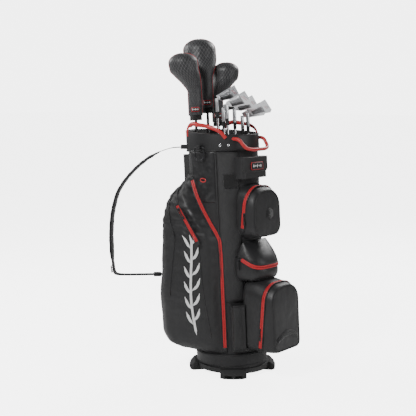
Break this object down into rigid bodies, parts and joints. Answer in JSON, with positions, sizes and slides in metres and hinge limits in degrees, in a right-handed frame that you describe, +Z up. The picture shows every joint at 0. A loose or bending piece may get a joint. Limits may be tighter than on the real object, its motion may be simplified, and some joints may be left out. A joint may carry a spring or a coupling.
{
  "type": "golf club set",
  "caption": "Black cart golf bag with side handles, zip pockets, cooler, bottle sleeve and shoulder strap, holding covered woods and irons that lift out of its slots",
  "frame": {"origin": "on the floor under the middle of the base", "axes": "+Z up, the bag's front with the ball pocket faces -Y, the side with the shoulder strap and towel ring is -X"},
  "size_m": [0.458, 0.6835, 1.2393],
  "materials": {
    "black_leatherette": "low sheen grain",
    "black_fabric": "matt weave",
    "black_plastic": "fine moulded texture",
    "red_plastic": "satin",
    "red_tape": "woven",
    "black_mesh": "open knit",
    "dark_metal": "satin",
    "bright_metal": "polished",
    "iron_steel": "satin",
    "shaft_steel": "polished",
    "shaft_graphite": "clear coat",
    "wood_head_paint": "gloss",
    "grip_rubber": "matt",
    "cover_knit": "quilted"
  },
  "bodies": {
    "bag": {"base_cup": "black_plastic", "base_feet": "grip_rubber", "body_shell": "black_fabric", "frame_stays": "dark_metal", "top_cuff": "black_plastic", "divider_grid": "black_fabric", "divider_walls": "black_fabric", "side_handles": "red_plastic", "front_handle": "red_plastic", "spine_pad": "black_fabric", "left_apparel_pocket": "black_leatherette", "right_apparel_pocket": "black_leatherette", "ball_pocket": "black_leatherette", "cooler_pocket": "black_leatherette", "upper_pocket": "black_leatherette", "pouch": "black_leatherette", "mesh_sleeve": "black_mesh", "zip_tapes": "red_tape", "shoulder_pad": "black_fabric", "strap_webbing": "black_fabric", "strap_hardware": "black_plastic", "rivets": "bright_metal"},
    "cooler_lid": {"cooler_lid": "black_leatherette"},
    "pouch_flap": {"pouch_flap": "black_leatherette"},
    "ball_zip_slider": {"ball_zip_slider": "dark_metal"},
    "upper_zip_slider": {"upper_zip_slider": "dark_metal"},
    "cooler_zip_slider": {"cooler_zip_slider": "dark_metal"},
    "accessory_zip_slider": {"accessory_zip_slider": "dark_metal"},
    "towel_ring": {"towel_ring": "bright_metal"},
    "driver": {"driver_head": "wood_head_paint", "driver_shaft": "shaft_graphite", "driver_grip_and_ferrule": "grip_rubber"},
    "fairway_3": {"fairway_3_head": "wood_head_paint", "fairway_3_shaft": "shaft_graphite", "fairway_3_grip_and_ferrule": "grip_rubber"},
    "fairway_5": {"fairway_5_head": "wood_head_paint", "fairway_5_shaft": "shaft_graphite", "fairway_5_grip_and_ferrule": "grip_rubber"},
    "iron_4": {"iron_4_head": "iron_steel", "iron_4_shaft": "shaft_steel", "iron_4_grip_and_ferrule": "grip_rubber"},
    "iron_5": {"iron_5_head": "iron_steel", "iron_5_shaft": "shaft_steel", "iron_5_grip_and_ferrule": "grip_rubber"},
    "iron_6": {"iron_6_head": "iron_steel", "iron_6_shaft": "shaft_steel", "iron_6_grip_and_ferrule": "grip_rubber"},
    "iron_7": {"iron_7_head": "iron_steel", "iron_7_shaft": "shaft_steel", "iron_7_grip_and_ferrule": "grip_rubber"},
    "iron_8": {"iron_8_head": "iron_steel", "iron_8_shaft": "shaft_steel", "iron_8_grip_and_ferrule": "grip_rubber"},
    "iron_9": {"iron_9_head": "iron_steel", "iron_9_shaft": "shaft_steel", "iron_9_grip_and_ferrule": "grip_rubber"},
    "driver_cover": {"driver_cover": "cover_knit"},
    "fairway_3_cover": {"fairway_3_cover": "cover_knit"},
    "fairway_5_cover": {"fairway_5_cover": "cover_knit"}
  },
  "joints": [
    {"name": "cooler_lid_hinge", "type": "hinge", "parent": "bag", "child": "cooler_lid", "pos_m": [0, -0.10623, 0.50519], "axis": [-1, 0, 0], "range_deg": [0, 60]},
    {"name": "pouch_flap_hinge", "type": "hinge", "parent": "bag", "child": "pouch_flap", "pos_m": [0, -0.10694, 0.80676], "axis": [-1, 0, 0], "range_deg": [0, 95]},
    {"name": "towel_ring_swing", "type": "hinge", "parent": "bag", "child": "towel_ring", "pos_m": [-0.136, 0.04994, 0.84052], "axis": [0, 0.9982, -0.0593], "range_deg": [-4, 60]},
    {"name": "ball_zip_slide", "type": "slide", "parent": "bag", "child": "ball_zip_slider", "axis": [0, 0.0593, 0.9982], "range_m": [0, 0.115]},
    {"name": "upper_zip_slide", "type": "slide", "parent": "bag", "child": "upper_zip_slider", "axis": [0, 0.0593, 0.9982], "range_m": [0, 0.045]},
    {"name": "cooler_zip_slide", "type": "slide", "parent": "bag", "child": "cooler_zip_slider", "axis": [0, -0.9982, 0.0593], "range_m": [0, 0.036]},
    {"name": "accessory_zip_slide", "type": "slide", "parent": "bag", "child": "accessory_zip_slider", "axis": [0.1639, -0.4927, -0.8546], "range_m": [0, 0.1]},
    {"name": "driver_lift", "type": "slide", "parent": "bag", "child": "driver", "axis": [0, 0.0593, 0.9982], "range_m": [0, 0.9]},
    {"name": "fairway_3_lift", "type": "slide", "parent": "bag", "child": "fairway_3", "axis": [0, 0.0593, 0.9982], "range_m": [0, 0.9]},
    {"name": "fairway_5_lift", "type": "slide", "parent": "bag", "child": "fairway_5", "axis": [0, 0.0593, 0.9982], "range_m": [0, 0.9]},
    {"name": "iron_4_lift", "type": "slide", "parent": "bag", "child": "iron_4", "axis": [0, 0.0593, 0.9982], "range_m": [0, 0.9]},
    {"name": "iron_5_lift", "type": "slide", "parent": "bag", "child": "iron_5", "axis": [0, 0.0593, 0.9982], "range_m": [0, 0.9]},
    {"name": "iron_6_lift", "type": "slide", "parent": "bag", "child": "iron_6", "axis": [0, 0.0593, 0.9982], "range_m": [0, 0.9]},
    {"name": "iron_7_lift", "type": "slide", "parent": "bag", "child": "iron_7", "axis": [0, 0.0593, 0.9982], "range_m": [0, 0.9]},
    {"name": "iron_8_lift", "type": "slide", "parent": "bag", "child": "iron_8", "axis": [0, 0.0593, 0.9982], "range_m": [0, 0.9]},
    {"name": "iron_9_lift", "type": "slide", "parent": "bag", "child": "iron_9", "axis": [0, 0.0593, 0.9982], "range_m": [0, 0.9]},
    {"name": "driver_cover_pull", "type": "slide", "parent": "driver", "child": "driver_cover", "axis": [0, 0.0593, 0.9982], "range_m": [0, 0.3], "deforming": ["driver_cover"]},
    {"name": "fairway_3_cover_pull", "type": "slide", "parent": "fairway_3", "child": "fairway_3_cover", "axis": [0, 0.0593, 0.9982], "range_m": [0, 0.3], "deforming": ["fairway_3_cover"]},
    {"name": "fairway_5_cover_pull", "type": "slide", "parent": "fairway_5", "child": "fairway_5_cover", "axis": [0, 0.0593, 0.9982], "range_m": [0, 0.3], "deforming": ["fairway_5_cover"]}
  ]
}
